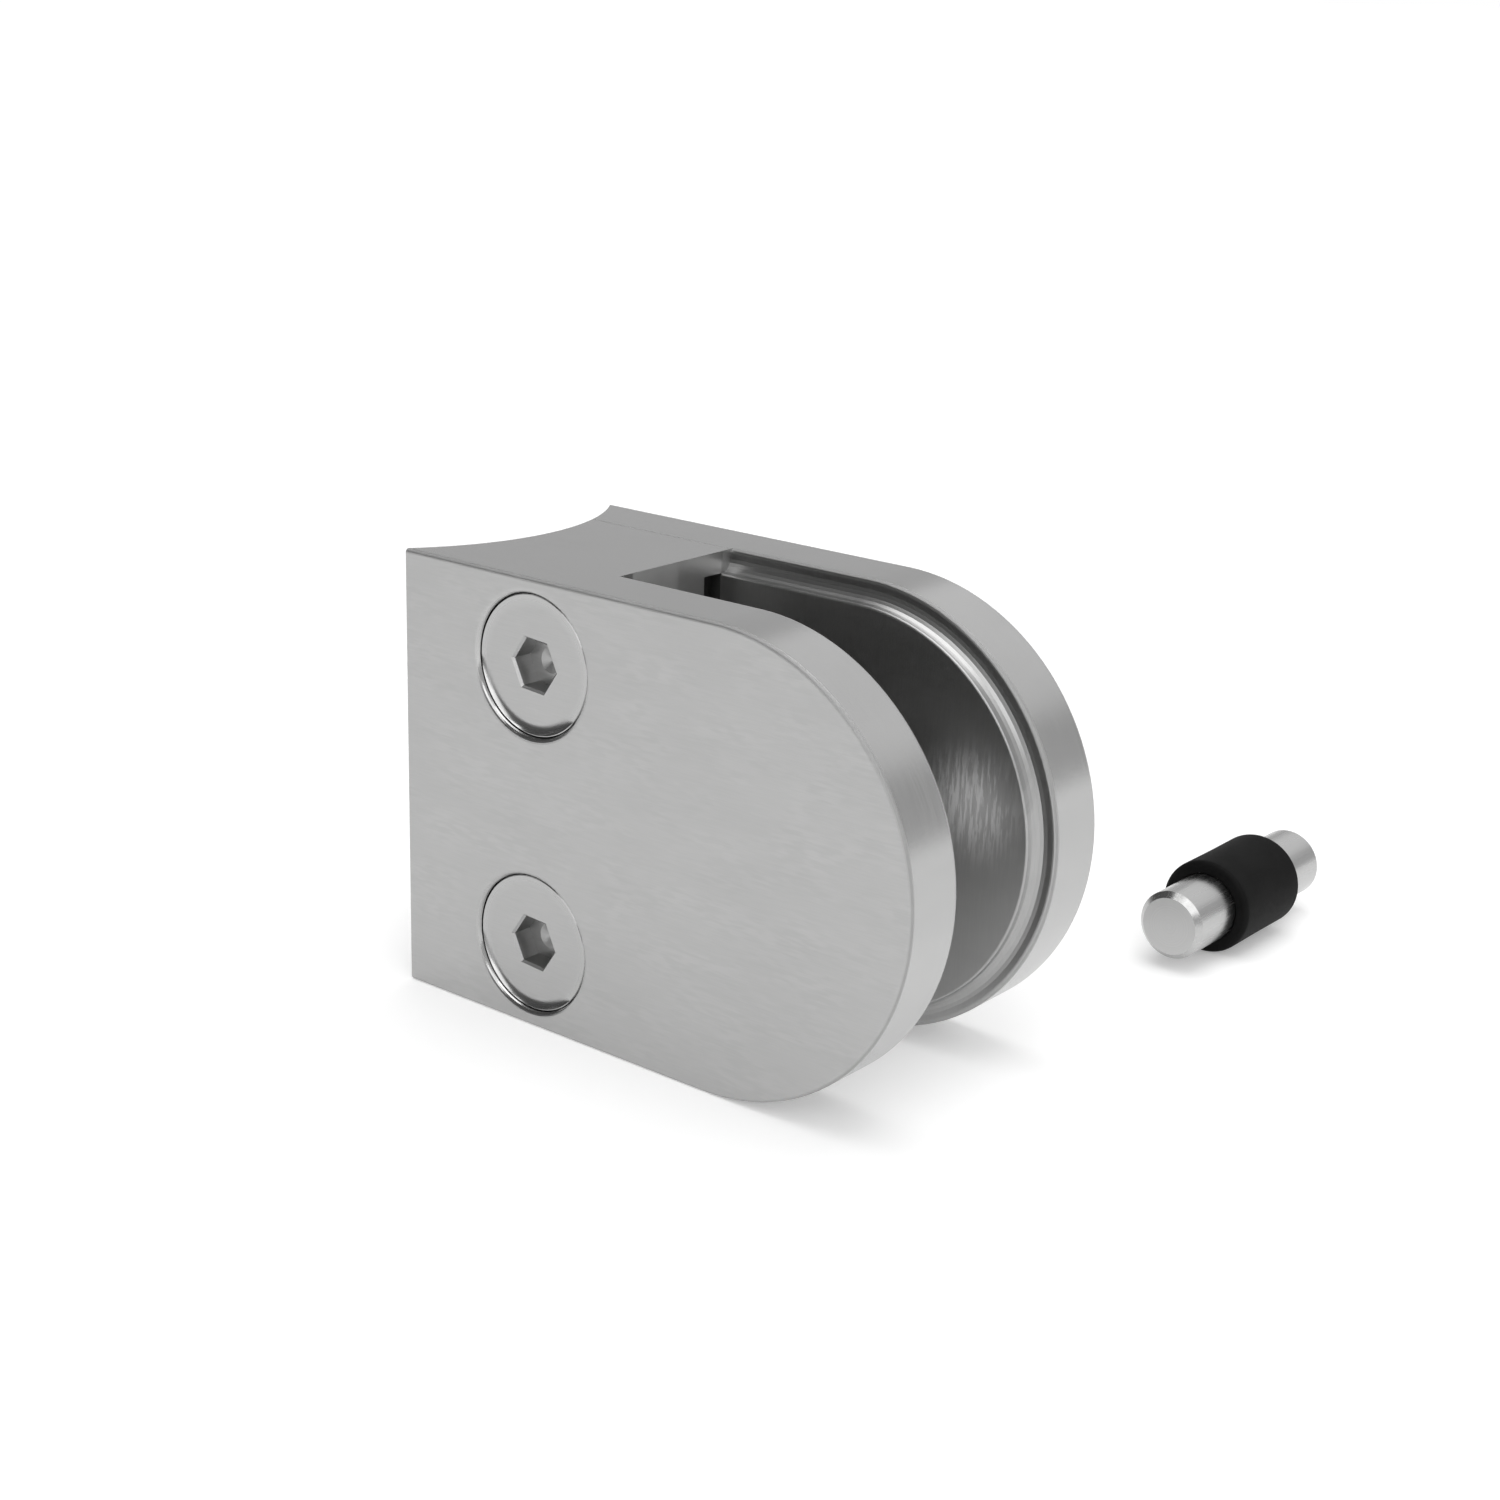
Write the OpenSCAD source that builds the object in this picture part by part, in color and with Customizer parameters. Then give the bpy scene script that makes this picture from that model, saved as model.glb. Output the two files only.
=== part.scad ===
// Glass panel clamp for a round post, with its loose safety pin.
//
// Two D-shaped jaws hold the edge of a glass panel between their raised pads.
// The front half is the front jaw and the spacer block in one piece. The back
// half is a plate, drawn onto the block by two flat-headed socket screws. The
// block's saddle sits on the post and is held by one bolt through its middle.
// The safety pin goes through a hole in the glass into a blind bore in each
// jaw. Here it lies beside the clamp, as it does before the glass goes in.
//
// Frame: the origin is where the post bolt's axis meets the deepest line of
// the saddle. +X points from the post to the glass, +Y from the front jaw to
// the back jaw, and +Z up along the post.

/* [Clamp] */
// Height of the clamp along the post, which is also the nose's diameter
clamp_h = 45; // [42:0.5:60]
// From the deepest line of the saddle to the tip of the nose
reach = 56.4; // [52:0.1:80]
// Thickness of each jaw plate
plate_t = 6.85; // [6.4:0.05:10]
// Width of the slot between the two jaw plates
slot_w = 15.9; // [14:0.1:22]
// From the deepest line of the saddle to the slot's end wall
web_t = 17.1; // [15:0.1:22]
// Rounding of the outer edges of the jaws
edge_r = 0.4; // [0.2:0.05:0.6]
// Rounding of the jaws' edges along the slot
slot_edge_r = 0.45; // [0.2:0.05:0.6]
// Rounding of the two edges that meet at the joint between the halves
seam_r = 0.12; // [0.05:0.01:0.3]

/* [Saddle] */
// Outside diameter of the post that the saddle fits
post_d = 48.3; // [42.4:0.1:76.1]
// How far the saddle's sharp tips are trimmed back
tip_trim = 0.2; // [0.1:0.05:0.6]

/* [Pads] */
// Width of the flat rim around each pad
rim_w = 2.2; // [1.5:0.1:3]
// Height of the pads above the jaw plates
pad_h = 1.5; // [1:0.1:2]
// Rounding along the top edge of the pads
pad_edge_r = 0.25; // [0.1:0.05:0.3]
// Hollow fillet at the foot of the pads
pad_foot_r = 1.2; // [0.2:0.1:1.2]
// Width of each gasket pocket in the slot's end wall
pocket_w = 4; // [2.5:0.1:5]
// Depth of each gasket pocket in the slot's end wall
pocket_depth = 1.2; // [0.5:0.1:1.5]

/* [Pin bosses] */
// Height of the round boss above the pad
boss_h = 1.5; // [0.8:0.1:2]
// Radius of the boss's flat top
boss_top_r = 6.4; // [6.2:0.1:8]
// Rounding between the boss's top and its slope
boss_edge_r = 0.8; // [0.1:0.1:1.5]
// Radius of the boss's foot on the pad
boss_foot_r = 9.8; // [8.5:0.1:12]
// Depth of the blind pin bore below the face of the jaw plate
pin_bore_depth = 5.8; // [4:0.1:5.9]
// Radial clearance of the pin in its bore
pin_clear = 0.15; // [0.05:0.05:0.3]
// Radial clearance of the sleeve in the boss
sleeve_clear = 0.2; // [0.1:0.05:0.4]

/* [Post bolt] */
// Diameter of the hole for the post bolt
bolt_hole_d = 8.5; // [6.6:0.1:9]
// Diameter of the recess for the post bolt's head
bolt_head_d = 13.5; // [12:0.1:14]
// Depth of the recess for the post bolt's head below the slot's end wall
bolt_head_depth = 8; // [5:0.1:9]

/* [Jaw screws] */
// From the top or the bottom of the clamp to the nearest screw's axis
screw_edge = 8.5; // [8.4:0.1:12]
// From the slot's end wall back to the screws' axes
screw_setback = 5.3; // [5:0.1:6.5]
// Diameter of the thread
screw_d = 6; // [5:0.5:6]
// Diameter of the head
head_d = 13.7; // [11:0.1:14]
// Thickness of the head
head_t = 3.9; // [3:0.1:4.4]
// How far the head's rim lies below the face of the jaw
head_sink = 0.4; // [0.05:0.05:0.6]
// Width of the hollow ring between the head's rim and its sunk flat
dish_w = 1.3; // [0.5:0.1:2]
// Depth of the head's flat below its rim
dish_depth = 0.1; // [0.05:0.05:0.5]
// Radial gap between the head and its recess
head_gap = 0.1; // [0.05:0.05:0.3]
// Rounding of the recess's mouth
mouth_r = 0.55; // [0.2:0.05:0.9]
// Width across the flats of the hexagon socket
hex_af = 4.7; // [4:0.1:5.5]
// Depth of the hexagon socket below the head's flat
hex_depth = 2.3; // [1.5:0.1:2.4]
// How far the socket is turned from level
hex_turn = 4; // [0:1:30]
// Radial clearance of the screw in the front half
screw_clear = 0.3; // [0.2:0.05:0.5]
// Radial clearance of the screw in its thread
thread_clear = 0.05; // [0.02:0.01:0.1]
// Length of thread in the back half
thread_length = 5; // [4:0.1:5]

/* [Safety pin] */
// Diameter of the pin
pin_d = 7.4; // [6:0.1:7.4]
// Chamfer at the ends of the pin
pin_chamfer = 0.6; // [0.3:0.05:1]
// Free length at each end of the pin in its bore
pin_end_play = 0.15; // [0.05:0.05:0.4]
// Thickness of the sleeve's wall
sleeve_wall = 1.4; // [1:0.1:1.8]
// Free length at each end of the sleeve in the slot
sleeve_end_play = 1.9; // [0.1:0.1:2.5]
// Rounding of the sleeve's ends
sleeve_edge_r = 0.5; // [0.1:0.05:0.6]
// From the back face of the clamp to the middle of the loose pin
pin_away = 39; // [32:1:80]
// From the tip of the nose back to the loose pin
pin_back = 5; // [0:1:30]

/* [Hidden] */

$fn = 96;
ARC_STEPS = 5;
PAST = 1;
RIM_EDGE = 0.08;
FLANK_MIN = 0.05;
SOCKET_CHAMFER = 0.25;
DRILL_TIP = 0.4;
TIP_ROOM = 0.35;

thickness = slot_w + 2 * plate_t;
half_t = thickness / 2;
half_slot = slot_w / 2;
half_h = clamp_h / 2;
nose_x = reach - half_h;
post_r = post_d / 2;
tip_x = sqrt(post_r * post_r - half_t * half_t) - post_r + tip_trim;
pad_half_h = half_h - rim_w;
screw_x = web_t - screw_setback;
screw_z = half_h - screw_edge;
screw_r = screw_d / 2;
head_r = head_d / 2;
head_recess_r = head_r + head_gap;
head_floor_y = head_sink + head_t - half_t;
screw_end_y = half_slot + thread_length;
pin_r = pin_d / 2;
pin_length = slot_w + 2 * (pin_bore_depth - pin_end_play);
sleeve_r = pin_r + sleeve_wall;
sleeve_length = slot_w - 2 * sleeve_end_play;
pin_place = [reach - pin_back, half_t + pin_away, sleeve_r - half_h];

// Points of an arc about c, from angle a to angle b
function arc(c, r, a, b) =
    [for (i = [0:ARC_STEPS]) c + r * [cos(a + (b - a) * i / ARC_STEPS), sin(a + (b - a) * i / ARC_STEPS)]];

// Half section of a slab from y0 to y1: [distance from the middle, y], with
// the outer corner at y0 rounded by r0 and the one at y1 by r1
function slab_section(half, y0, y1, r0, r1) = concat(
    [[0, y0]],
    arc([half - r0, y0 + r0], r0, -90, 0),
    arc([half - r1, y1 - r1], r1, 0, 90),
    [[0, y1]]);

// Half section of a pad of height h that stands on y0, with a hollow fillet
// at its foot and a rounded top edge
function pad_section(half, y0, h) =
    let (foot = min(pad_foot_r, h - pad_edge_r - FLANK_MIN))
    concat(
        [[0, y0]],
        arc([half + foot, y0 + foot], foot, -90, -180),
        arc([half - pad_edge_r, y0 + h - pad_edge_r], pad_edge_r, 0, 90),
        [[0, y0 + h]]);

// Half section of the pin boss on the pad's face at y0: a shallow cone whose
// slope runs into the flat top over a rounding
function boss_section(y0) =
    let (slope = atan2(boss_h, boss_foot_r - boss_top_r),
         bend = [boss_top_r - boss_edge_r * tan(slope / 2), y0 + boss_h - boss_edge_r])
    concat(
        [[0, y0 - pad_h], [boss_foot_r, y0 - pad_h], [boss_foot_r, y0]],
        arc(bend, boss_edge_r, 90 - slope, 90),
        [[0, y0 + boss_h]]);

// Bar with this half section and its mirror image, from x0 to x1
module bar(section, x0, x1) {
    translate([x1, 0, 0]) rotate([0, -90, 0]) linear_extrude(x1 - x0) {
        polygon(section);
        mirror([1, 0]) polygon(section);
    }
}

// Half disc with this half section, for the round nose
module half_disc(section) {
    translate([nose_x, 0, 0]) rotate([-90, 0, 0]) rotate([0, 0, -90])
        rotate_extrude(angle = 180) polygon(section);
}

// Round solid of this half section about an axis along Y through x, z
module turned(section, x, z) {
    translate([x, 0, z]) rotate([-90, 0, 0]) rotate_extrude() polygon(section);
}

// Hole or shaft along Y from y0 to y1
module along_y(x, z, r, y0, y1) {
    translate([x, y0, z]) rotate([-90, 0, 0]) cylinder(r = r, h = y1 - y0);
}

// The front jaw beyond the slot's end wall: plate, nose, pad and boss
module jaw() {
    plate = slab_section(half_h, -half_t, -half_slot, edge_r, slot_edge_r);
    pad = pad_section(pad_half_h, -half_slot, pad_h);
    bar(plate, web_t, nose_x);
    half_disc(plate);
    bar(pad, web_t, nose_x);
    half_disc(pad);
    turned(boss_section(pad_h - half_slot), nose_x, 0);
}

// What the pin takes out of the front jaw: its bore and the sleeve's seat
module pin_seat() {
    along_y(nose_x, 0, pin_r + pin_clear, -half_slot - pin_bore_depth, 0);
    along_y(nose_x, 0, sleeve_r + sleeve_clear, -half_slot, 0);
}

// The post, which cuts the saddle
module post_space() {
    translate([-post_r, 0, -half_h - PAST]) cylinder(r = post_r, h = clamp_h + 2 * PAST, $fn = 180);
}

// Hole for the post bolt, with the recess for its head
module post_bolt_space() {
    translate([-post_r, 0, 0]) rotate([0, 90, 0]) cylinder(d = bolt_hole_d, h = post_r + web_t + PAST);
    translate([web_t - bolt_head_depth, 0, 0]) rotate([0, 90, 0])
        cylinder(d = bolt_head_d, h = bolt_head_depth + PAST);
}

// Pockets in the slot's end wall that take the straight edges of the gaskets
module gasket_pockets() {
    for (side = [-1, 1])
        translate([web_t - pocket_depth, side * (half_slot - pocket_w / 2) - pocket_w / 2, -pad_half_h])
            cube([pocket_depth + PAST, pocket_w, 2 * pad_half_h]);
}

// What one screw takes out of the front half: recess with a rounded mouth,
// and the clearance hole
module screw_space(z) {
    mouth = concat(
        [[0, -half_t - PAST], [head_recess_r + mouth_r, -half_t - PAST]],
        arc([head_recess_r + mouth_r, mouth_r - half_t], mouth_r, -90, -180),
        [[head_recess_r, head_floor_y], [0, head_floor_y]]);
    turned(mouth, screw_x, z);
    along_y(screw_x, z, screw_r + screw_clear, head_floor_y - PAST, half_slot + PAST);
}

// Flat-headed screw with a hexagon socket, its head facing the front. A hollow
// ring rises from the head's sunk flat to its rim
module jaw_screw(z) {
    rim_y = head_sink - half_t;
    face_y = rim_y + dish_depth;
    slope = 2 * atan2(dish_depth, dish_w);
    dish_r = dish_w / sin(slope);
    head = concat(
        [[0, face_y]],
        arc([head_r - RIM_EDGE - dish_w, face_y - dish_r], dish_r, 90, 90 - slope),
        [[head_r, rim_y + RIM_EDGE], [head_r, head_floor_y], [screw_r, head_floor_y],
         [screw_r, screw_end_y - screw_r / 4], [screw_r * 3 / 4, screw_end_y], [0, screw_end_y]]);
    hex_r = hex_af / sqrt(3);
    difference() {
        turned(head, screw_x, z);
        translate([screw_x, face_y, z]) rotate([-90, 0, 0]) rotate([0, 0, hex_turn]) {
            translate([0, 0, -PAST]) cylinder(r = hex_r, h = hex_depth + PAST, $fn = 6);
            cylinder(r1 = hex_r + SOCKET_CHAMFER, r2 = hex_r, h = SOCKET_CHAMFER, $fn = 6);
            translate([0, 0, hex_depth - DRILL_TIP / 4]) cylinder(r1 = hex_af / 3, r2 = 0.2, h = DRILL_TIP);
        }
    }
}

// Front jaw and spacer block in one piece, with the saddle for the post
module front_half() {
    color([0.72, 0.72, 0.71]) difference() {
        union() {
            bar(slab_section(half_h, -half_t, half_slot, edge_r, seam_r), tip_x, web_t);
            jaw();
        }
        post_space();
        post_bolt_space();
        gasket_pockets();
        screw_space(screw_z);
        screw_space(-screw_z);
        pin_seat();
    }
}

// Back jaw, with the far edge of the saddle and the two threaded holes
module back_plate() {
    color([0.72, 0.72, 0.71]) difference() {
        union() {
            bar(slab_section(half_h, half_slot, half_t, seam_r, edge_r), tip_x, web_t);
            mirror([0, 1, 0]) jaw();
        }
        post_space();
        for (z = [-screw_z, screw_z])
            along_y(screw_x, z, screw_r + thread_clear, half_slot - PAST, screw_end_y + TIP_ROOM);
        mirror([0, 1, 0]) pin_seat();
    }
}

module upper_screw() {
    color([0.76, 0.76, 0.75]) jaw_screw(screw_z);
}

module lower_screw() {
    color([0.76, 0.76, 0.75]) jaw_screw(-screw_z);
}

// Steel pin with chamfered ends, lying parallel to its bores
module safety_pin() {
    half = pin_length / 2;
    color([0.78, 0.78, 0.77]) translate(pin_place) rotate([-90, 0, 0]) rotate_extrude()
        polygon([[0, -half], [pin_r - pin_chamfer, -half], [pin_r, pin_chamfer - half],
                 [pin_r, half - pin_chamfer], [pin_r - pin_chamfer, half], [0, half]]);
}

// Rubber sleeve around the middle of the pin, which keeps steel off the glass
module pin_sleeve() {
    half = sleeve_length / 2;
    color([0.1, 0.1, 0.1]) translate(pin_place) rotate([-90, 0, 0]) rotate_extrude()
        polygon(concat(
            [[pin_r, -half]],
            arc([sleeve_r - sleeve_edge_r, sleeve_edge_r - half], sleeve_edge_r, -90, 0),
            arc([sleeve_r - sleeve_edge_r, half - sleeve_edge_r], sleeve_edge_r, 0, 90),
            [[pin_r, half]]));
}

front_half();
back_plate();
upper_screw();
lower_screw();
safety_pin();
pin_sleeve();
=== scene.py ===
"""Looks of the glass panel clamp: brushed jaws, socket screws, safety pin and its rubber sleeve."""

import bpy
import numpy as np
from bpy.props import FloatProperty, FloatVectorProperty, IntProperty, PointerProperty
from bpy.types import Operator, Panel, PropertyGroup
from mathutils import Matrix, Vector


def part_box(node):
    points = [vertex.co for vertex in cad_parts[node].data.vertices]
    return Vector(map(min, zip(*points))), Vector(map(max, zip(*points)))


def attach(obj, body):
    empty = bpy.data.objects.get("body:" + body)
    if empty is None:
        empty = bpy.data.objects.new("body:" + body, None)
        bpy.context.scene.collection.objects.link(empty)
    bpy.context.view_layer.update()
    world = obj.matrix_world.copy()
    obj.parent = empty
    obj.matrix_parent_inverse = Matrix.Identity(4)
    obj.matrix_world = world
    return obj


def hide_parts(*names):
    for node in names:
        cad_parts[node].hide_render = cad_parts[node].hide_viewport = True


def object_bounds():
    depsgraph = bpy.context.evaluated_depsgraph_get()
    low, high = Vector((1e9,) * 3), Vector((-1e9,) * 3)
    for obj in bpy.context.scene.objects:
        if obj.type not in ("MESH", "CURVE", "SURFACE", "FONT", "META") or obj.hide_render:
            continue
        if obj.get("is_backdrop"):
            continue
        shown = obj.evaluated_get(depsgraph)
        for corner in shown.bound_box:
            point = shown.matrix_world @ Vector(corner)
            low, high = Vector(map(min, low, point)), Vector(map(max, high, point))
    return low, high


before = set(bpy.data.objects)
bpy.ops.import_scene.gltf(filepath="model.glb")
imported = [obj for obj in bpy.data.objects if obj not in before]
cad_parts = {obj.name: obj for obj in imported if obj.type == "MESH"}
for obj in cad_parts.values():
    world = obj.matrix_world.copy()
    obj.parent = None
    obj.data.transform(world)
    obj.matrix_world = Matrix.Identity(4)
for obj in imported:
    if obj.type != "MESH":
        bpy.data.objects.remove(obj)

bl_info = {
    "name": "Glass Panel Clamp",
    "version": (1, 0, 0),
    "blender": (4, 5, 0),
    "location": "View3D > Sidebar > Clamp",
    "description": "Finishes a glass panel clamp, its screws, its safety pin and the pin's rubber sleeve",
    "category": "Object",
}

MM = 0.001
WHITE = (1, 1, 1, 1)
JAWS = ("front_half", "back_plate")
SCREWS = ("upper_screw", "lower_screw")

# From the saddle to the slot's end wall, just short of it, and how far past its faces the slot is taken
SLOT_END = 17.05 * MM
SLOT_MARGIN = 0.1 * MM
# Radius of the rounded mouth of a screw recess, and the radius that holds a screw's hexagon socket
MOUTH = 7.6 * MM
SOCKET = 3.2 * MM
# Height of the pads, radius of a pin boss's foot, and the width over which the boss's marks end there
PAD_HEIGHT = 1.5 * MM
BOSS_FOOT = 9.8 * MM
BOSS_BLEND = 0.1 * MM

# Between these shares of y in its normal a side turns into a flat face, a rounded edge or the pin's end
FLAT = (0.8, 0.97)
ROUNDED = (0.05, 0.3)
CUT_END = (0.85, 0.98)
# Depths below a pad's face where its foot begins, and below a screw's face where the painted shade in its
# socket sets in and is full
FOOT_RANGE = (0.01 * MM, 0.06 * MM)
SOCKET_DEPTHS = (0.4 * MM, 0.9 * MM)
# Heights between which the back pad's wear gives way to bright steel
WEAR_HEIGHTS = (-12 * MM, 10 * MM)
# Values of the scratches' marks between which a scratch sets in
SCRATCH_RANGE = (0.3, 0.7)
# How fast the scratched patch and its painted highlight fade outwards, as a power
RUBBED_HIGHLIGHT_FALL = 1.8
# Direction across a screw's head to the low side of its ring, and the cosines where the relief comes in
LOW_SIDE_X = -0.342
LOW_SIDE_DOWN = 0.94
LOW_SIDE_RANGE = (0.3, 0.75)

# Lengths along x, y and z of one mark of each kind
WIDE_MARK = (2.2 * MM, 2.2 * MM, 0.45 * MM)
WIDE_PATCH = (7 * MM, 7 * MM, 3 * MM)
CLOUD = (12 * MM, 12 * MM, 4 * MM)
SCRATCH = (0.3 * MM, 5 * MM, 3 * MM)
DRAWN_MARK = (0.3 * MM, 14 * MM, 0.3 * MM)
RUBBER_GRAIN = (0.12 * MM, 0.12 * MM, 0.12 * MM)
RUBBER_BLOOM = (2.5 * MM, 4 * MM, 2.5 * MM)
# Widths of the turned marks on the bosses, on the screws' rings and on the pin's ends
BOSS_TURNING = 0.12 * MM
HEAD_TURNING = 0.1 * MM
PIN_TURNING = 0.14 * MM

# Noise values that count as no mark and as a full mark
NOISE_RANGE = (0.3, 0.7)
# Brightness where there is no mark and on a full mark
STEEL_LIGHT = (0.965, 1.015)
CLOUD_LIGHT = (0.985, 1.01)
WIDE_LIGHT = (0.975, 1.035)
DRAWN_LIGHT = (0.96, 1.02)
RUBBER_LIGHT = (0.8, 1.3)
SCRATCH_SHARE = (0.7, 1.0)
# How much the marks change the roughness
OUTER_UNEVEN = 0.06
SLOT_UNEVEN = 0.012
DRAWN_UNEVEN = 0.025
RUBBER_UNEVEN = 0.1
# Full height of the brush marks' relief, its share in the slot and on the screws' rings, and other reliefs
GRAIN = 0.003 * MM
SLOT_RELIEF = 0.05
RING_RELIEF = 0.3
DRAWN_RELIEF = 0.2 * GRAIN
RUBBER_RELIEF = 0.012 * MM

# How far the floor reaches from the clamp, and the ways from it where the lift is least and greatest
FLOOR_REACH = 20.0
LIFT_RANGE = (0.1, 0.8)
# Direction of the middle of the sky's dark part, of length 1: high, and a little to the left and front
DARK_PART = (-0.4494, -0.3995, 0.799)
# Cosines of the angle from that direction between which the sky darkens
DARK_RANGE = (0.4, 0.62)
# Height in the sky up to which it is seen white
HORIZON = 0.05
# Where the lamps point, and each lamp's name, place, width, depth and the setting with its power
HEART = (0.03, 0.0, 0.0)
LAMPS = (
    ("top_lamp", (0.05, 0.0, 0.9), 0.8, 0.8, "top_power"),
    ("front_lamp", (0.26, -0.38, 0.42), 0.5, 0.5, "front_power"),
    ("back_lamp", (0.1, 0.7, 0.5), 0.9, 0.4, "back_power"),
)
# Where the camera stands, and its three directions, each of length 1
CAMERA_PLACE = (0.16333, -0.17191, 0.07633)
CAMERA_RIGHT = (0.7763, 0.6296, 0.0295)
CAMERA_UP = (-0.2147, 0.2201, 0.9515)
CAMERA_VIEW = (-0.5926, 0.7451, -0.3060)


# Places, read from the CAD parts in model.glb


def middle(node):
    """The middle of a CAD node's box: half the sum of its two corners."""
    low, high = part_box(node)
    return (low + high) / 2


def size(node):
    """The three sides of a CAD node's box: its high corner less its low one."""
    low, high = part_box(node)
    return high - low


def nose_axis():
    """The x of the nose's centre line, which lies half the clamp's height back from the tip."""
    low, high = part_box("back_plate")
    return high.x - (high.z - low.z) / 2


def slot_half():
    """Half the slot's width, which is how far the front half's spacer reaches back from the middle."""
    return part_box("front_half")[1].y


PIN_AXIS = middle("pin_sleeve")
PIN_RADIUS = size("safety_pin").x / 2


# Settings


class JawFinish(PropertyGroup):
    """Colour and grain of the steel jaws."""

    colour: FloatVectorProperty(
        name="Steel", description="Colour of the brushed steel", subtype="COLOR", size=4,
        min=0, max=1, default=(0.445, 0.445, 0.443, 1))
    face_roughness: FloatProperty(
        name="Face roughness", description="Roughness of the flat outer faces",
        subtype="FACTOR", default=0.38, min=0.05, max=1)
    side_roughness: FloatProperty(
        name="Side roughness", description="Roughness of the narrow sides and the nose",
        subtype="FACTOR", default=0.24, min=0.05, max=1)
    front_pad_roughness: FloatProperty(
        name="Front pad roughness", description="Roughness of the front jaw's milled pad",
        subtype="FACTOR", default=0.45, min=0.05, max=1)
    back_pad_roughness: FloatProperty(
        name="Back pad roughness", description="Roughness of the back jaw's pad where it is still bright",
        subtype="FACTOR", default=0.34, min=0.05, max=1)
    worn_roughness: FloatProperty(
        name="Worn roughness", description="Roughness of the back jaw's pad in its worn lower part",
        subtype="FACTOR", default=0.7, min=0.05, max=1)
    boss_roughness: FloatProperty(
        name="Boss roughness", description="Roughness of the turned pin bosses",
        subtype="FACTOR", default=0.34, min=0.05, max=1)
    foot_roughness: FloatProperty(
        name="Foot roughness", description="Roughness of the hollow round the pads' feet",
        subtype="FACTOR", default=0.34, min=0.05, max=1)
    edge_roughness: FloatProperty(
        name="Edge roughness", description="Roughness of the rounded outer edges",
        subtype="FACTOR", default=0.75, min=0.05, max=1)
    mouth_roughness: FloatProperty(
        name="Mouth roughness", description="Roughness of the rounded mouths of the screw recesses",
        subtype="FACTOR", default=0.18, min=0.05, max=1)
    # The scratched patch on the back pad: rougher, and with a painted highlight that lightens its colour
    rubbed_highlight_way: FloatProperty(
        name="Rubbed_highlight patch forward",
        description="How far the rubbed patch lies from the nose's axis towards its tip",
        subtype="DISTANCE", unit="LENGTH", default=14 * MM, min=0, max=20 * MM)
    rubbed_highlight_height: FloatProperty(
        name="Rubbed_highlight patch up", description="How far the rubbed patch lies above the clamp's middle",
        subtype="DISTANCE", unit="LENGTH", default=4 * MM, min=-20 * MM, max=20 * MM)
    rubbed_highlight_radius: FloatProperty(
        name="Rubbed_highlight patch radius", description="Radius of the rubbed patch on the back jaw's pad",
        subtype="DISTANCE", unit="LENGTH", default=11 * MM, min=0.5 * MM, max=20 * MM)
    # Painted highlight: how many times lighter the patch's colour is at its middle
    painted_highlight_gain: FloatProperty(
        name="Rubbed_highlight patch light", description="How much lighter than the rest the patch's middle is",
        subtype="FACTOR", default=2.1, min=1, max=2.2)
    foot_lean: FloatProperty(
        name="Foot lean", description="How far the pads' steep sides seem to lean, as rise over run",
        default=0.12, min=0, max=2)
    # Painted shade: the share of brightness left to the steel round the pads' feet
    foot_painted_shade: FloatProperty(
        name="Foot light", description="Share of the steel's brightness round the pads' feet",
        subtype="FACTOR", default=0.85, min=0.5, max=1)
    streak_length: FloatProperty(
        name="Streak length", description="Length of one brush mark", subtype="DISTANCE", unit="LENGTH",
        default=3.5 * MM, min=1 * MM, max=40 * MM)
    streak_width: FloatProperty(
        name="Streak width", description="Width of one brush mark", subtype="DISTANCE", unit="LENGTH",
        default=0.12 * MM, min=0.02 * MM, max=1 * MM)


class ScrewFinish(PropertyGroup):
    """Colour and gloss of the two jaw screws."""

    colour: FloatVectorProperty(
        name="Steel", description="Colour of the screws' steel", subtype="COLOR", size=4,
        min=0, max=1, default=(0.445, 0.445, 0.443, 1))
    head_roughness: FloatProperty(
        name="Head roughness", description="Roughness of the flat of the head",
        subtype="FACTOR", default=0.38, min=0.05, max=1)
    ring_roughness: FloatProperty(
        name="Ring roughness", description="Roughness of the head's turned ring",
        subtype="FACTOR", default=0.2, min=0.05, max=1)
    socket_roughness: FloatProperty(
        name="Socket roughness", description="Roughness inside the hexagon socket",
        subtype="FACTOR", default=0.34, min=0.05, max=1)
    # Painted shade: the share of brightness left to the steel deep in the hexagon socket
    socket_painted_shade: FloatProperty(
        name="Socket light", description="Share of the steel's brightness inside the hexagon socket",
        subtype="FACTOR", default=0.85, min=0.5, max=1)
    ring_width: FloatProperty(
        name="Ring width", description="Width of the turned ring inside the head's rim", subtype="DISTANCE",
        unit="LENGTH", default=1.2 * MM, min=0.3 * MM, max=3 * MM)
    ring_depth: FloatProperty(
        name="Ring relief", description="How deep the turned ring looks", subtype="DISTANCE",
        unit="LENGTH", default=0.7 * MM, min=0, max=2 * MM)


class PinFinish(PropertyGroup):
    """Colour and gloss of the safety pin."""

    colour: FloatVectorProperty(
        name="Steel", description="Colour of the drawn steel bar", subtype="COLOR", size=4,
        min=0, max=1, default=(0.48, 0.48, 0.478, 1))
    roughness: FloatProperty(
        name="Roughness", description="Roughness of the drawn steel bar",
        subtype="FACTOR", default=0.25, min=0.05, max=1)
    end_roughness: FloatProperty(
        name="End roughness", description="Roughness of the bar's two cut ends",
        subtype="FACTOR", default=0.31, min=0.05, max=1)


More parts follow.
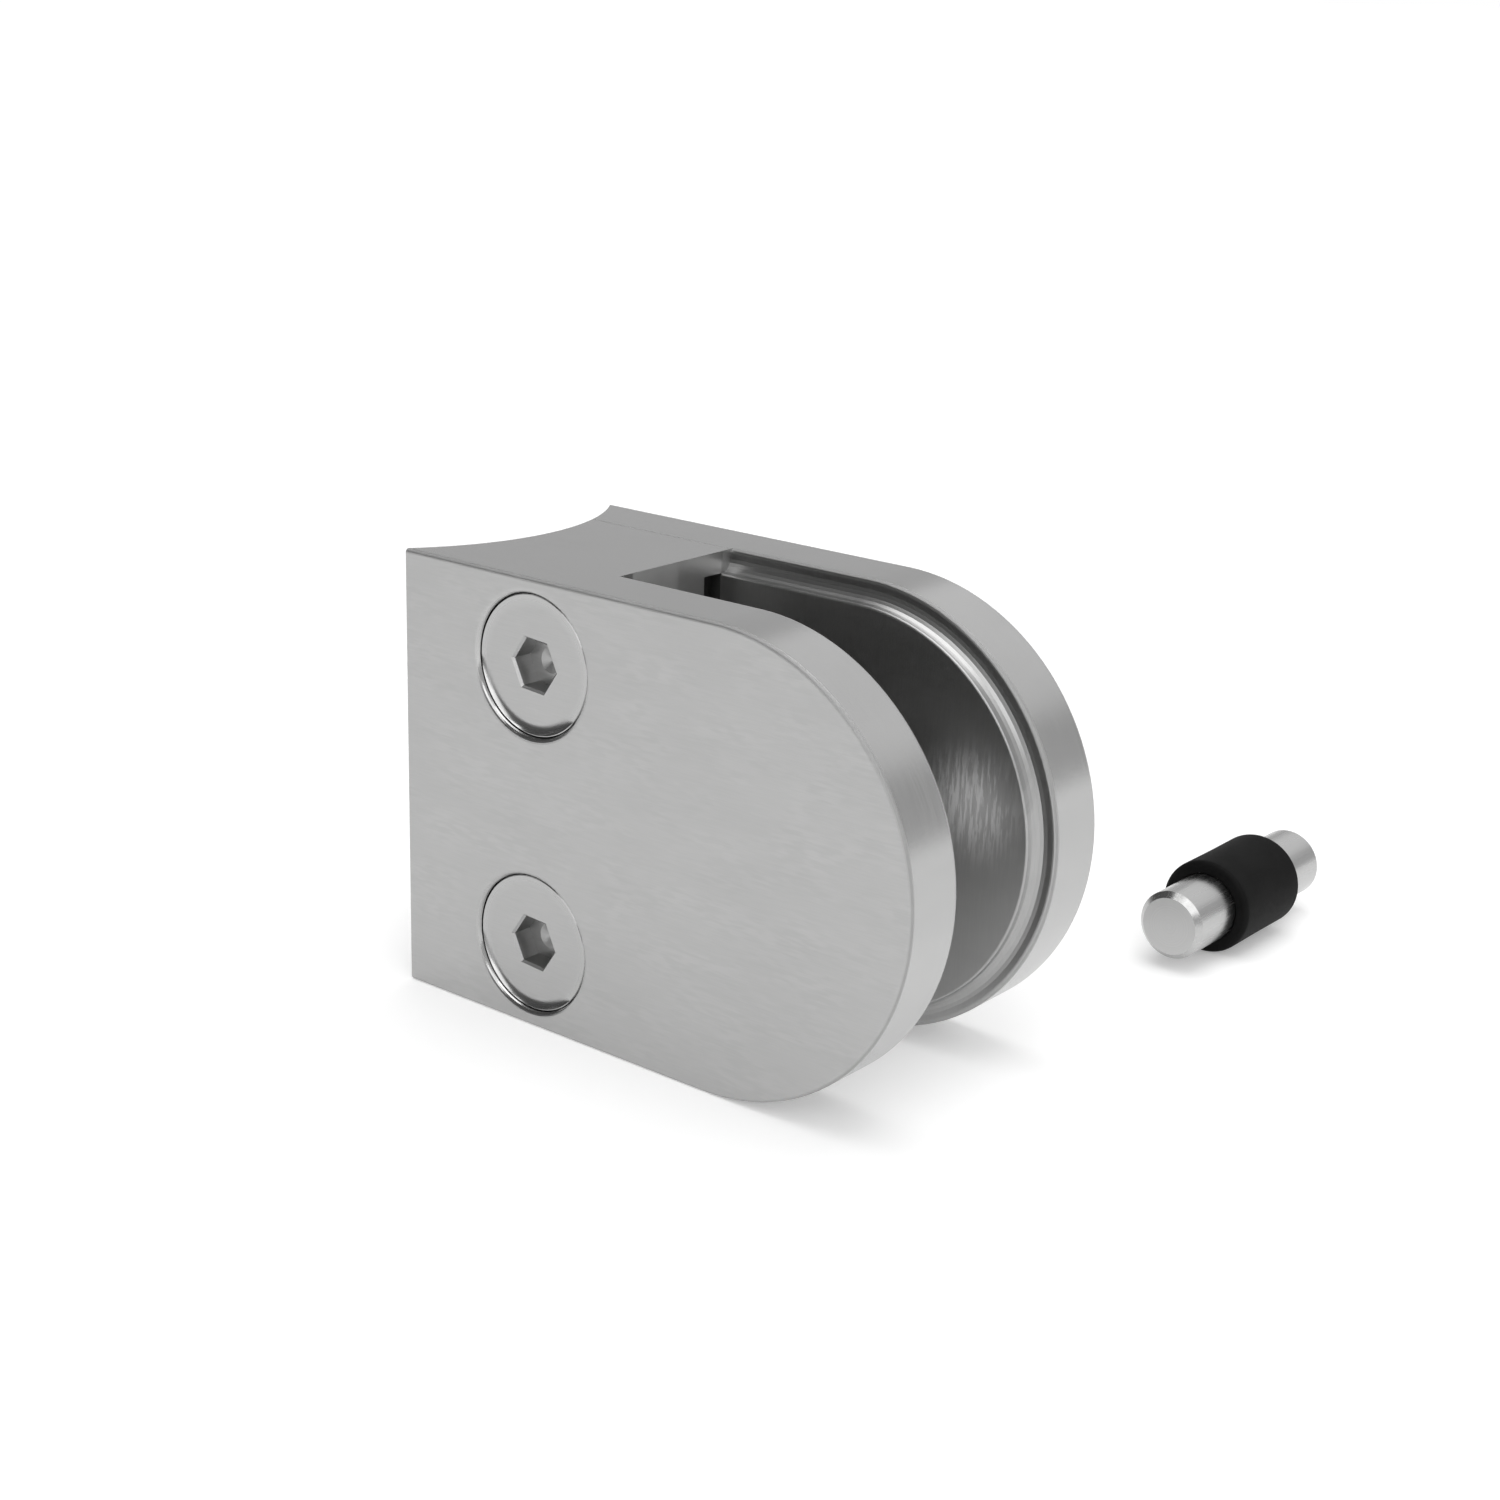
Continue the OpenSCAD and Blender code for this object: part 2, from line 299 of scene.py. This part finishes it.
class SleeveShape(PropertyGroup):
    """Sizes and finish of the rubber sleeve on the pin."""

    length: FloatProperty(
        name="Length", description="Length of the sleeve along the pin", subtype="DISTANCE", unit="LENGTH",
        default=size("pin_sleeve").y, min=5 * MM, max=40 * MM)
    radius: FloatProperty(
        name="Radius", description="Outer radius of the sleeve", subtype="DISTANCE", unit="LENGTH",
        default=size("pin_sleeve").x / 2, min=3 * MM, max=10 * MM)
    edge: FloatProperty(
        name="Edge", description="Rounding of the sleeve's ends", subtype="DISTANCE", unit="LENGTH",
        default=0.55 * MM, min=0.1 * MM, max=1 * MM)
    lip: FloatProperty(
        name="Lip", description="Rounding where the sleeve's end meets the pin", subtype="DISTANCE",
        unit="LENGTH", default=0.18 * MM, min=0.02 * MM, max=0.4 * MM)
    waist: FloatProperty(
        name="Waist", description="How far the cut tube necks in at its middle", subtype="DISTANCE",
        unit="LENGTH", default=0.03 * MM, min=0, max=0.3 * MM)
    around: IntProperty(
        name="Facets", description="Number of faces around the sleeve", default=96, min=24, max=256)
    colour: FloatVectorProperty(
        name="Rubber", description="Colour of the rubber", subtype="COLOR", size=4,
        min=0, max=1, default=(0.0045, 0.0045, 0.0045, 1))
    roughness: FloatProperty(
        name="Roughness", description="Roughness of the rubber",
        subtype="FACTOR", default=0.6, min=0.2, max=1)


class StageSettings(PropertyGroup):
    """Floor and light round the clamp."""

    floor: FloatVectorProperty(
        name="Floor", description="Colour of the floor", subtype="COLOR", size=4,
        min=0, max=1, default=(0.86, 0.86, 0.86, 1))
    lift: FloatProperty(
        name="Lift", description="Brightness added to the floor under the clamp where it is seen",
        subtype="FACTOR", default=0.26, min=0, max=1)
    far_lift: FloatProperty(
        name="Far lift", description="Brightness added to the far floor where it is seen",
        subtype="FACTOR", default=0.78, min=0, max=1)
    sky: FloatProperty(
        name="Sky", description="Strength of the light from all round", default=0.62, min=0, max=2)
    sky_shadow: FloatProperty(
        name="Dark part", description="Share of the sky's light that its dark part lacks",
        subtype="FACTOR", default=0.82, min=0, max=1)
    top_power: FloatProperty(
        name="Top lamp", description="Power of the wide lamp above the clamp", subtype="POWER",
        unit="POWER", default=5.4, min=0, max=100)
    front_power: FloatProperty(
        name="Front lamp", description="Power of the soft lamp above the viewer", subtype="POWER",
        unit="POWER", default=1.35, min=0, max=100)
    back_power: FloatProperty(
        name="Back lamp", description="Power of the wide lamp behind the clamp", subtype="POWER",
        unit="POWER", default=0.45, min=0, max=100)
    lens: FloatProperty(
        name="Lens", description="Focal length on a sensor 36 mm wide", subtype="DISTANCE_CAMERA",
        unit="CAMERA", default=57.98, min=20, max=200)


# Shader nodes


def add(tree, kind, inputs=(), **settings):
    """One shader node: settings go on the node, and inputs fill its sockets with values or links."""
    node = tree.nodes.new("ShaderNode" + kind)
    for name, value in settings.items():
        setattr(node, name, value)
    for key, value in dict(inputs).items():
        if isinstance(value, bpy.types.NodeSocket):
            tree.links.new(value, node.inputs[key])
        else:
            node.inputs[key].default_value = value
    return node


def parts(tree, vector):
    """The three numbers of a vector, by the names X, Y and Z."""
    return add(tree, "SeparateXYZ", {0: vector}).outputs


def calc(tree, operation, first, second=0.0, clamp=False):
    """The result of one sum, product, power or comparison of two numbers."""
    return add(tree, "Math", {0: first, 1: second}, operation=operation, use_clamp=clamp).outputs[0]


def times(tree, *factors):
    """The product of two or more numbers."""
    product = factors[0]
    for factor in factors[1:]:
        product = calc(tree, "MULTIPLY", product, factor)
    return product


def ramp(tree, value, low, high, start=0.0, end=1.0):
    """Start below low, end above high, and a smooth rise in between."""
    inputs = {"Value": value, "From Min": low, "From Max": high, "To Min": start, "To Max": end}
    return add(tree, "MapRange", inputs, interpolation_type="SMOOTHSTEP").outputs[0]


def blend(tree, share, first, second):
    """First where share is 0, second where it is 1, and a straight mix in between."""
    return add(tree, "Mix", {"Factor": share, "A": first, "B": second}, data_type="FLOAT").outputs[0]


def distance(tree, across, up):
    """The square root of the sum of two squares."""
    return calc(tree, "SQRT", calc(tree, "ADD", times(tree, across, across), times(tree, up, up)))


def shade(tree, colour, light):
    """A colour made darker or lighter: each channel times the same number."""
    grey = add(tree, "CombineColor", {0: light, 1: light, 2: light}).outputs[0]
    inputs = {0: 1.0, 6: colour, 7: grey}
    return add(tree, "Mix", inputs, data_type="RGBA", blend_type="MULTIPLY").outputs[2]


def marks(tree, place, lengths, detail=3.0):
    """Streaks from 0 to 1: noise at place, stretched so that one mark has these lengths along x, y and z."""
    scale = tuple(1 / length for length in lengths)
    grid = add(tree, "Mapping", {"Vector": place, "Scale": scale}).outputs[0]
    noise = add(tree, "TexNoise", {"Vector": grid, "Scale": 1.0, "Detail": detail, "Roughness": 0.6})
    return ramp(tree, noise.outputs[0], *NOISE_RANGE)


def rings(tree, place, centre, width):
    """Turned marks from 0 to 1, and the distance from the axis that they run round.

    The axis runs along y through centre, and the marks are noise along the distance from it.
    """
    shifted = add(tree, "Mapping", {"Vector": place, "Location": (-centre[0], 0, -centre[1])}).outputs[0]
    at = parts(tree, shifted)
    away = distance(tree, at["X"], at["Z"])
    step = calc(tree, "DIVIDE", away, width)
    noise = add(tree, "TexNoise", {"W": step, "Scale": 1.0, "Detail": 2.0}, noise_dimensions="1D")
    return ramp(tree, noise.outputs[0], *NOISE_RANGE), away


def across_face(tree):
    """How squarely a face looks along y, from 0 on a side to 1 on a flat face."""
    return calc(tree, "ABSOLUTE", parts(tree, add(tree, "NewGeometry").outputs["Normal"])["Y"])


def new_material(name):
    """A new material with its node tree, its shader and the object's own coordinates."""
    material = bpy.data.materials.new(name)
    material.use_nodes = True
    tree = material.node_tree
    shader = tree.nodes["Principled BSDF"]
    place = add(tree, "TexCoord").outputs["Object"]
    return material, tree, shader, place


def new_steel(name):
    """A new material as above, whose shader is metal."""
    material, tree, shader, place = new_material(name)
    shader.inputs["Metallic"].default_value = 1.0
    return material, tree, shader, place


def surface(tree, shader, colour, roughness, height, depth):
    """Colour, roughness and relief on a shader, with the relief's full height in metres."""
    tree.links.new(colour, shader.inputs["Base Color"])
    tree.links.new(roughness, shader.inputs["Roughness"])
    bump = add(tree, "Bump", {"Height": height, "Distance": depth, "Strength": 1.0})
    tree.links.new(bump.outputs[0], shader.inputs["Normal"])


# Jaws


def slot_zone(tree, at):
    """1 on the faces inside the glass slot, and 0 on the rest of the jaws."""
    between = calc(tree, "LESS_THAN", calc(tree, "ABSOLUTE", at["Y"]), slot_half() + SLOT_MARGIN)
    return times(tree, between, calc(tree, "GREATER_THAN", at["X"], SLOT_END))


def wide_marks(tree, place):
    """Light of the wider brush marks, which come in patches and leave the steel between them as it is."""
    wide = marks(tree, place, WIDE_MARK, detail=1.0)
    patches = marks(tree, place, WIDE_PATCH, detail=1.0)
    return blend(tree, patches, 1.0, ramp(tree, wide, 0.0, 1.0, *WIDE_LIGHT))


def rubbed_highlight_patch(tree, place, at, behind, finish):
    """The scratched patch on the back jaw's pad, with a painted highlight in its colour, from 1 at its
    middle to 0 at its rim.
    """
    along = calc(tree, "SUBTRACT", at["X"], nose_axis() + finish.rubbed_highlight_way)
    above = calc(tree, "SUBTRACT", at["Z"], finish.rubbed_highlight_height)
    patch = ramp(tree, distance(tree, along, above), 0.0, finish.rubbed_highlight_radius, 1.0, 0.0)
    scratches = ramp(tree, marks(tree, place, SCRATCH), *SCRATCH_RANGE, *SCRATCH_SHARE)
    return times(tree, calc(tree, "POWER", patch, RUBBED_HIGHLIGHT_FALL), scratches, behind)


def outer_roughness(tree, at, facing, flat, finish):
    """Roughness outside the slot: narrow sides, rounded edges, mouths of the recesses and flat faces."""
    screw = middle("upper_screw")
    across = calc(tree, "SUBTRACT", at["X"], screw.x)
    up = calc(tree, "SUBTRACT", calc(tree, "ABSOLUTE", at["Z"]), screw.z)
    mouth = calc(tree, "LESS_THAN", distance(tree, across, up), MOUTH)
    edge = blend(tree, mouth, finish.edge_roughness, finish.mouth_roughness)
    side = blend(tree, ramp(tree, facing, *ROUNDED), finish.side_roughness, edge)
    return blend(tree, flat, side, finish.face_roughness)


def slot_roughness(tree, at, behind, rubbed_highlight, on_boss, foot, finish):
    """Roughness inside the slot: both pads, the scratched patch that carries the painted highlight, the pin
    bosses and the pads' feet.
    """
    back_pad = ramp(tree, at["Z"], *WEAR_HEIGHTS, finish.worn_roughness, finish.back_pad_roughness)
    pad = blend(tree, behind, finish.front_pad_roughness, back_pad)
    pad = blend(tree, rubbed_highlight, pad, finish.worn_roughness)
    inner = blend(tree, on_boss, pad, finish.boss_roughness)
    return blend(tree, foot, inner, finish.foot_roughness)


def jaw_steel(finish):
    """Brushed steel of the jaws.

    The flat outer faces are brushed along x and the narrow sides along their own outline. The slot's
    faces are milled, with upright marks on the pads and turned marks on the pin bosses. The back pad is
    duller towards its bottom. It has a scratched patch whose colour is lightened as a painted highlight.
    Painted shade darkens the steel round the pads' feet. A relief tilts the sides of the pads a little.
    """
    material, tree, shader, place = new_steel("brushed_steel")
    at = parts(tree, place)
    facing = across_face(tree)
    flat = ramp(tree, facing, *FLAT)
    inside = slot_zone(tree, at)
    behind = calc(tree, "GREATER_THAN", at["Y"], 0.0)
    below_pad = calc(tree, "SUBTRACT", calc(tree, "ABSOLUTE", at["Y"]), slot_half() - PAD_HEIGHT)
    foot = ramp(tree, below_pad, *FOOT_RANGE)

    long, fine = finish.streak_length, finish.streak_width
    boss_marks, away = rings(tree, place, (nose_axis(), 0), BOSS_TURNING)
    on_boss = ramp(tree, away, BOSS_FOOT - BOSS_BLEND, BOSS_FOOT, 1.0, 0.0)
    slot_marks = blend(tree, on_boss, marks(tree, place, (fine, long, long)), boss_marks)
    side_marks = marks(tree, place, (2 * long, fine, 2 * long))
    face_marks = marks(tree, place, (long, long, fine))
    grain = blend(tree, inside, blend(tree, flat, side_marks, face_marks), slot_marks)
    # This share lightens the colour as a painted highlight and also raises the roughness
    rubbed_highlight = times(tree, rubbed_highlight_patch(tree, place, at, behind, finish), inside)

    outer_face = times(tree, flat, calc(tree, "SUBTRACT", 1.0, inside))
    light = times(
        tree,
        blend(tree, grain, *STEEL_LIGHT),
        ramp(tree, marks(tree, place, CLOUD, detail=2.0), 0.0, 1.0, *CLOUD_LIGHT),
        blend(tree, outer_face, 1.0, wide_marks(tree, place)),
        # Painted highlight: the scratched patch's colour is lightened towards its middle
        ramp(tree, rubbed_highlight, 0.0, 1.0, 1.0, finish.painted_highlight_gain),
        # Painted shade: the steel round the pads' feet in the slot is darkened
        blend(tree, times(tree, foot, inside), 1.0, finish.foot_painted_shade),
    )
    outer = outer_roughness(tree, at, facing, flat, finish)
    inner = slot_roughness(tree, at, behind, rubbed_highlight, on_boss, foot, finish)
    uneven = times(tree, calc(tree, "SUBTRACT", grain, 0.5), blend(tree, inside, OUTER_UNEVEN, SLOT_UNEVEN))
    rough = calc(tree, "ADD", blend(tree, inside, outer, inner), uneven)
    relief = times(tree, grain, blend(tree, inside, 1.0, SLOT_RELIEF))
    lean = ramp(tree, below_pad, 0.0, PAD_HEIGHT, -finish.foot_lean * PAD_HEIGHT / GRAIN, 0.0)
    height = calc(tree, "ADD", relief, times(tree, inside, lean))
    surface(tree, shader, shade(tree, finish.colour, light), rough, height, GRAIN)
    return material


# Screws, pin and sleeve


def low_side(tree, at, centre, away):
    """1 straight towards the low side of a screw's ring, and less with the angle away from it.

    It is the cosine of that angle: the way from the centre along the low side, over the distance.
    """
    across = times(tree, calc(tree, "SUBTRACT", at["X"], centre.x), LOW_SIDE_X)
    drop = times(tree, calc(tree, "SUBTRACT", centre.z, at["Z"]), LOW_SIDE_DOWN)
    return calc(tree, "DIVIDE", calc(tree, "ADD", across, drop), away)


def screw_steel(finish, node, jaw):
    """Steel of one screw.

    The head's flat is brushed like the jaws. The hollow ring inside its rim is turned bright, and on its
    low left side a relief deepens with the square of the way to the rim. The socket is dull, and painted
    shade darkens it from a little below the face inwards.
    """
    material, tree, shader, place = new_steel("screw_steel_" + node)
    centre = middle(node)
    rim = size(node).x / 2
    inner = rim - finish.ring_width
    at = parts(tree, place)
    turned, away = rings(tree, place, (centre.x, centre.z), HEAD_TURNING)
    brushed = marks(tree, place, (jaw.streak_length, jaw.streak_length, jaw.streak_width))
    ring = ramp(tree, away, inner, rim)
    below = calc(tree, "SUBTRACT", at["Y"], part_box(node)[0].y)
    sunk = times(tree, calc(tree, "LESS_THAN", away, SOCKET), ramp(tree, below, *SOCKET_DEPTHS))

    grain = blend(tree, ring, brushed, times(tree, turned, RING_RELIEF))
    # Painted shade: deep in the hexagon socket the colour is darkened
    light = times(tree, blend(tree, grain, *STEEL_LIGHT), blend(tree, sunk, 1.0, finish.socket_painted_shade))
    rough = blend(tree, ring, finish.head_roughness, finish.ring_roughness)
    rough = blend(tree, sunk, rough, finish.socket_roughness)
    outward = calc(tree, "DIVIDE", calc(tree, "SUBTRACT", away, inner), finish.ring_width, clamp=True)
    rise = times(tree, calc(tree, "POWER", outward, 2.0), finish.ring_depth / GRAIN)
    rise = times(tree, rise, ramp(tree, low_side(tree, at, centre, away), *LOW_SIDE_RANGE))
    surface(tree, shader, shade(tree, finish.colour, light), rough, calc(tree, "ADD", grain, rise), GRAIN)
    return material


def pin_steel(finish):
    """Drawn steel bar: long marks along the bar, and fine turned rings on its two cut ends."""
    material, tree, shader, place = new_steel("pin_steel")
    end = ramp(tree, across_face(tree), *CUT_END)
    drawn = marks(tree, place, DRAWN_MARK)
    cut, _ = rings(tree, place, (PIN_AXIS.x, PIN_AXIS.z), PIN_TURNING)
    grain = blend(tree, end, drawn, cut)
    light = blend(tree, grain, *DRAWN_LIGHT)
    rough = blend(tree, end, finish.roughness, finish.end_roughness)
    rough = calc(tree, "ADD", rough, ramp(tree, grain, 0.0, 1.0, -DRAWN_UNEVEN, DRAWN_UNEVEN))
    surface(tree, shader, shade(tree, finish.colour, light), rough, grain, DRAWN_RELIEF)
    return material


def sleeve_rubber(finish):
    """Matt black rubber: a fine moulded grain with wider, fainter patches of bloom."""
    material, tree, shader, place = new_material("black_rubber")
    shader.inputs["Specular IOR Level"].default_value = 0.1
    grain = marks(tree, place, RUBBER_GRAIN, detail=4.0)
    light = blend(tree, marks(tree, place, RUBBER_BLOOM, detail=2.0), *RUBBER_LIGHT)
    rough = blend(tree, grain, finish.roughness, finish.roughness + RUBBER_UNEVEN)
    surface(tree, shader, shade(tree, finish.colour, light), rough, grain, RUBBER_RELIEF)
    return material


def dress(node, material):
    """Puts a material on every slot of a CAD node's object."""
    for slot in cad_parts[node].material_slots:
        slot.material = material


# Surfaces


def sleeve_profile(shape):
    """Closed outline of the sleeve's wall as rows of (radius, place along the pin).

    The outer corners are quarter circles of radius edge, the corners at the pin quarter circles of
    radius lip, and the outer wall necks in by waist times the cosine of half a turn along its length.
    """
    half = shape.length / 2
    quarter = np.linspace(0, np.pi / 2, 9)
    flank = np.linspace(shape.edge - half, half - shape.edge, 25)[1:-1]
    wall = np.column_stack((shape.radius - shape.waist * np.cos(np.pi * flank / (2 * half)) ** 2, flank))
    out = np.column_stack((np.sin(quarter), 1 - np.cos(quarter))) * shape.edge
    near = np.column_stack((shape.radius - shape.edge + out[:, 0], out[:, 1] - half))
    far = np.column_stack((near[::-1, 0], -near[::-1, 1]))
    return np.vstack((near, wall, far, lip_corner(shape, half), lip_corner(shape, -half)))


def lip_corner(shape, end):
    """Quarter circle between the sleeve's end face and its bore, run from outside in at the far end."""
    quarter = np.linspace(0, np.pi / 2, 7)
    along = np.sign(end)
    radius = PIN_RADIUS + shape.lip * (1 - np.sin(quarter))
    place = end - along * shape.lip * (1 - np.cos(quarter))
    corner = np.column_stack((radius, place))
    return corner if along > 0 else corner[::-1]


def revolve(profile, around):
    """Points of an outline turned about the pin's axis, and the quads between neighbouring rows.

    A point is the axis plus its radius times (cosine, sine) of the angle across the pin, and its own
    place along the pin. Both directions close on themselves.
    """
    angle = np.arange(around) * 2 * np.pi / around
    x = PIN_AXIS.x + np.outer(profile[:, 0], np.cos(angle))
    z = PIN_AXIS.z + np.outer(profile[:, 0], np.sin(angle))
    y = PIN_AXIS.y + np.repeat(profile[:, 1], around).reshape(len(profile), around)
    points = np.stack((x, y, z), axis=-1).reshape(-1, 3)
    row, column = np.meshgrid(np.arange(len(profile)), np.arange(around), indexing="ij")
    next_row, next_column = (row + 1) % len(profile), (column + 1) % around
    corners = (row * around + column, next_row * around + column,
               next_row * around + next_column, row * around + next_column)
    return points, np.stack(corners, axis=-1).reshape(-1, 4)


def new_piece(name, points, faces, material):
    """A smooth-shaded mesh object of these points and faces, riding on the one rigid body."""
    mesh = bpy.data.meshes.new(name)
    mesh.from_pydata(points.tolist(), [], faces.tolist())
    mesh.polygons.foreach_set("use_smooth", np.ones(len(faces), bool))
    mesh.materials.append(material)
    mesh.update()
    piece = bpy.data.objects.new(name, mesh)
    bpy.context.scene.collection.objects.link(piece)
    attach(piece, "root")
    return piece


# Stage


def new_lamp(name, place, width, depth, power):
    """A rectangular soft lamp that points at the middle of the clamp."""
    lamp = bpy.data.lights.new(name, "AREA")
    lamp.shape = "RECTANGLE"
    lamp.size = width
    lamp.size_y = depth
    lamp.energy = power
    thing = bpy.data.objects.new(name, lamp)
    bpy.context.scene.collection.objects.link(thing)
    look = (Vector(HEART) - Vector(place)).to_track_quat("-Z", "Y").to_matrix().to_4x4()
    thing.matrix_world = Matrix.Translation(place) @ look


def new_camera(lens):
    """A camera in front of the clamp, to the right and a little above, with a slight roll."""
    camera = bpy.data.objects.new("camera", bpy.data.cameras.new("camera"))
    bpy.context.scene.collection.objects.link(camera)
    camera.data.lens = lens
    camera.data.sensor_width = 36
    camera.data.clip_start = 1 * MM
    turn = Matrix((Vector(CAMERA_RIGHT), Vector(CAMERA_UP), -Vector(CAMERA_VIEW))).transposed().to_4x4()
    camera.matrix_world = Matrix.Translation(CAMERA_PLACE) @ turn
    bpy.context.scene.camera = camera


def seen_directly(tree):
    """1 for what the viewer sees, straight on, in polished metal or through glass, and 0 for other light."""
    path = add(tree, "LightPath").outputs
    either = calc(tree, "MAXIMUM", path["Is Glossy Ray"], path["Is Transmission Ray"])
    return calc(tree, "MAXIMUM", path["Is Camera Ray"], either)


def floor_material(settings):
    """Pale matt floor, lifted to white where it is seen, so that only the object's shadow shows.

    The lift grows with the way from the clamp, because the lamps reach the far floor less.
    """
    material, tree, shader, place = new_material("pale_floor")
    shader.inputs["Base Color"].default_value = settings.floor
    shader.inputs["Roughness"].default_value = 0.9
    shader.inputs["Specular IOR Level"].default_value = 0.0
    at = parts(tree, place)
    way = distance(tree, at["X"], at["Y"])
    lift = times(tree, seen_directly(tree), ramp(tree, way, *LIFT_RANGE, settings.lift, settings.far_lift))
    glow = add(tree, "Emission", {"Color": WHITE, "Strength": lift})
    both = add(tree, "AddShader", {0: shader.outputs[0], 1: glow.outputs[0]})
    tree.links.new(both.outputs[0], tree.nodes["Material Output"].inputs["Surface"])
    return material


def new_floor(settings):
    """A flat square under the clamp, level with the lowest point of the whole object."""
    corners = np.array([(-1, -1), (1, -1), (1, 1), (-1, 1)]) * FLOOR_REACH
    points = np.column_stack((corners, np.full(4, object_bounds()[0][2])))
    mesh = bpy.data.meshes.new("floor")
    mesh.from_pydata(points.tolist(), [], [(0, 1, 2, 3)])
    mesh.materials.append(floor_material(settings))
    floor = bpy.data.objects.new("floor", mesh)
    bpy.context.scene.collection.objects.link(floor)
    floor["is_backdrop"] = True


def new_sky(settings):
    """Light from all round: white low down where it is seen, grey above, and darker in one part."""
    world = bpy.data.worlds.new("grey_sky")
    world.use_nodes = True
    tree = world.node_tree
    way = add(tree, "TexCoord").outputs["Generated"]
    near = add(tree, "VectorMath", {0: way, 1: DARK_PART}, operation="DOT_PRODUCT").outputs["Value"]
    grey = ramp(tree, near, *DARK_RANGE, settings.sky, settings.sky * (1 - settings.sky_shadow))
    low = times(tree, seen_directly(tree), ramp(tree, parts(tree, way)["Z"], 0.0, HORIZON, 1.0, 0.0))
    white = calc(tree, "MAXIMUM", add(tree, "LightPath").outputs["Is Camera Ray"], low)
    background = tree.nodes["Background"]
    background.inputs["Color"].default_value = WHITE
    tree.links.new(blend(tree, white, grey, 1.0), background.inputs["Strength"])
    bpy.context.scene.world = world


# Operators


class CLAMP_OT_finish_jaws(Operator):
    """Brush both steel jaws"""

    bl_idname = "clamp.finish_jaws"
    bl_label = "Finish the jaws"

    def execute(self, context):
        material = jaw_steel(context.scene.clamp_jaws)
        for node in JAWS:
            dress(node, material)
        return {"FINISHED"}


class CLAMP_OT_finish_screws(Operator):
    """Finish the heads and sockets of the two jaw screws"""

    bl_idname = "clamp.finish_screws"
    bl_label = "Finish the screws"

    def execute(self, context):
        for node in SCREWS:
            dress(node, screw_steel(context.scene.clamp_screws, node, context.scene.clamp_jaws))
        return {"FINISHED"}


class CLAMP_OT_finish_pin(Operator):
    """Finish the drawn steel pin"""

    bl_idname = "clamp.finish_pin"
    bl_label = "Finish the safety pin"

    def execute(self, context):
        dress("safety_pin", pin_steel(context.scene.clamp_pin))
        return {"FINISHED"}


class CLAMP_OT_make_sleeve(Operator):
    """Make the rubber sleeve around the pin"""

    bl_idname = "clamp.make_sleeve"
    bl_label = "Make the pin's sleeve"

    def execute(self, context):
        shape = context.scene.clamp_sleeve
        if shape.radius - PIN_RADIUS < shape.edge + shape.lip:
            raise ValueError("the sleeve's wall is too thin for its roundings")
        points, faces = revolve(sleeve_profile(shape), shape.around)
        piece = new_piece("rubber_sleeve", points, faces, sleeve_rubber(shape))
        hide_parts("pin_sleeve")
        return {"FINISHED"}


class CLAMP_OT_set_stage(Operator):
    """Set the floor, the sky, the lamps and the camera"""

    bl_idname = "clamp.set_stage"
    bl_label = "Set the stage"

    def execute(self, context):
        settings = context.scene.clamp_stage
        new_floor(settings)
        new_sky(settings)
        for name, place, width, depth, power in LAMPS:
            new_lamp(name, place, width, depth, getattr(settings, power))
        new_camera(settings.lens)
        context.scene.view_settings.view_transform = "Standard"
        return {"FINISHED"}


STEPS = (
    CLAMP_OT_finish_jaws,
    CLAMP_OT_finish_screws,
    CLAMP_OT_finish_pin,
    CLAMP_OT_make_sleeve,
    CLAMP_OT_set_stage,
)


class CLAMP_PT_sidebar(Panel):
    """The clamp's settings and steps"""

    bl_label = "Glass panel clamp"
    bl_idname = "CLAMP_PT_sidebar"
    bl_space_type = "VIEW_3D"
    bl_region_type = "UI"
    bl_category = "Clamp"

    def draw(self, context):
        for name, group in GROUPS.items():
            box = self.layout.box()
            box.label(text=group.__doc__.rstrip("."))
            settings = getattr(context.scene, name)
            for key in group.__annotations__:
                box.prop(settings, key)
        for step in STEPS:
            self.layout.operator(step.bl_idname)


GROUPS = {
    "clamp_jaws": JawFinish,
    "clamp_screws": ScrewFinish,
    "clamp_pin": PinFinish,
    "clamp_sleeve": SleeveShape,
    "clamp_stage": StageSettings,
}
CLASSES = (*GROUPS.values(), *STEPS, CLAMP_PT_sidebar)


def register():
    """Makes the settings, the steps and the panel known to Blender."""
    for cls in CLASSES:
        bpy.utils.register_class(cls)
    for name, group in GROUPS.items():
        setattr(bpy.types.Scene, name, PointerProperty(type=group))


def unregister():
    """Takes the panel, the steps and the settings out again."""
    for name in GROUPS:
        delattr(bpy.types.Scene, name)
    for cls in reversed(CLASSES):
        bpy.utils.unregister_class(cls)


def main():
    """Runs every step in order."""
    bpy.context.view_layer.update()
    register()
    bpy.ops.clamp.finish_jaws()
    bpy.ops.clamp.finish_screws()
    bpy.ops.clamp.finish_pin()
    bpy.ops.clamp.make_sleeve()
    bpy.ops.clamp.set_stage()


if __name__ == "__main__":
    main()
